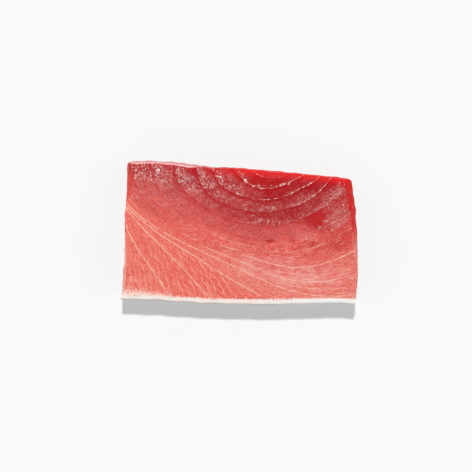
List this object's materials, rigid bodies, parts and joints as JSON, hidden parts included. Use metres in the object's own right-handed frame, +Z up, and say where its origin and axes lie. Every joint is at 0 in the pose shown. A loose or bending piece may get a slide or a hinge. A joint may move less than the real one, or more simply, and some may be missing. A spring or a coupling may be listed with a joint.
{
  "type": "bluefin tuna fillet",
  "caption": "Thick raw tuna fillet cut across the loin, with curved growth lines in red to salmon flesh and a white skin layer along its front side, lying on its cut face.",
  "frame": {"origin": "centre of the fillet's bounding box in plan, on the flat base it lies on", "axes": "+X along the skin to the right end, +Y across the fillet from the skin towards the spine side, +Z up out of the upper cut face"},
  "size_m": [0.182, 0.1106, 0.0256],
  "materials": {
    "wet_flesh": "wet raw fish muscle, deep red by the spine to salmon pink by the skin, with cream growth lines",
    "skin_layer": "damp cream-white fat layer with thin fish skin on its outer side"
  },
  "bodies": {
    "root": {"flesh": "wet_flesh", "skin": "skin_layer"}
  },
  "joints": []
}
